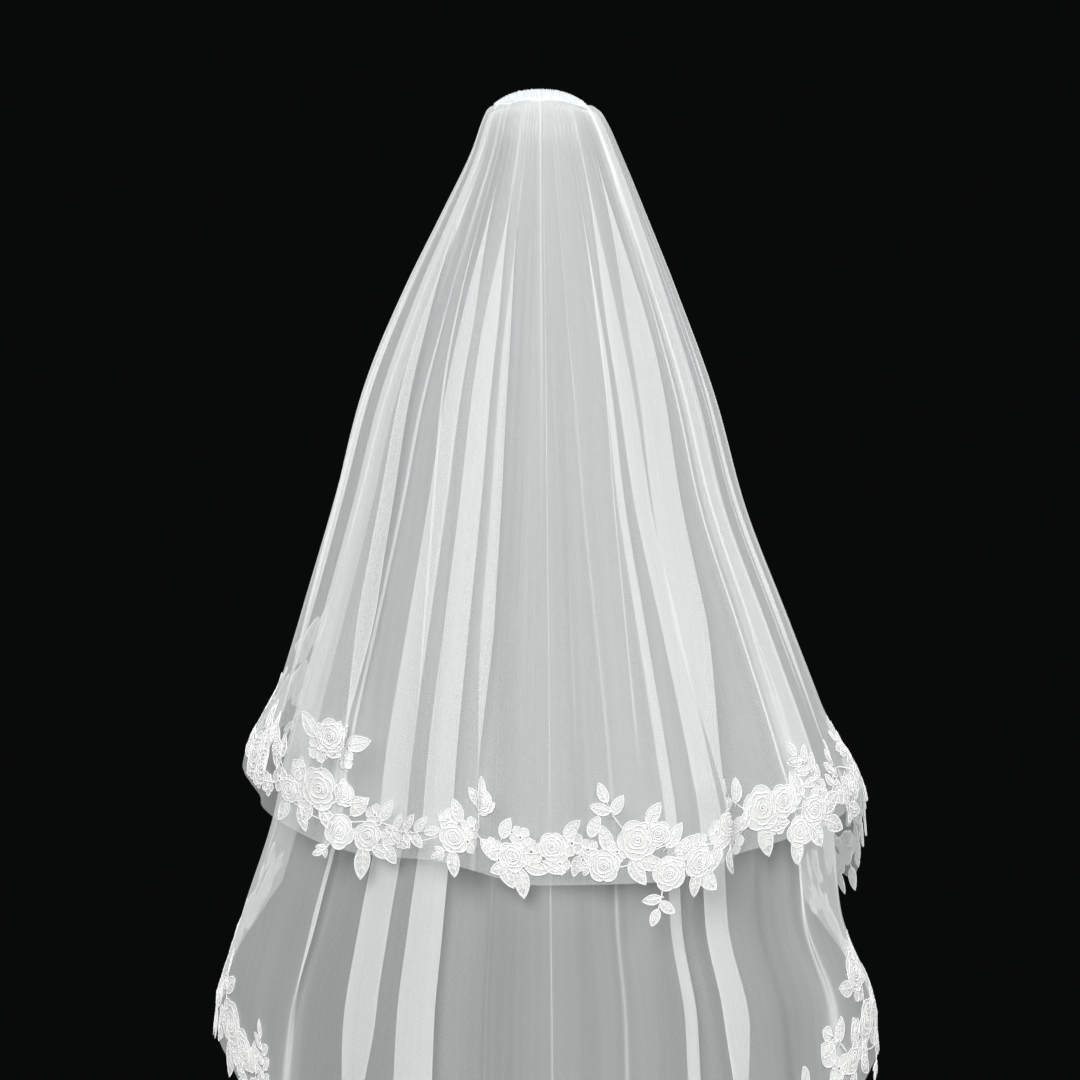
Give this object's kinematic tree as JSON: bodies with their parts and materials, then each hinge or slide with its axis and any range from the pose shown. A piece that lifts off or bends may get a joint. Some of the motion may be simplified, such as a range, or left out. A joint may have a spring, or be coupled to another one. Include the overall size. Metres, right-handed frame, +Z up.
{
  "type": "two-tier bridal veil",
  "caption": "Gathered tulle bridal veil in two tiers with corded floral lace on both hems, in its worn form, held in the hair by a clear comb.",
  "frame": {"origin": "middle of the heading's underside, over the comb, where the wearer's hair holds the veil", "axes": "+Z up, +Y the way the wearer faces, +X the wearer's right, so the picture looks along +Y"},
  "size_m": [0.7769, 0.3473, 1.5001],
  "materials": {
    "comb": "clear, polished",
    "heading": "gathered tulle, matte",
    "upper_tier": "sheer soft tulle",
    "lower_tier": "sheer soft tulle",
    "upper_lace": "corded lace, matte",
    "lower_lace": "corded lace, matte"
  },
  "bodies": {
    "root": {"comb": "comb", "heading": "heading", "upper_tier": "upper_tier", "lower_tier": "lower_tier", "upper_lace": "upper_lace", "lower_lace": "lower_lace"}
  },
  "joints": []
}
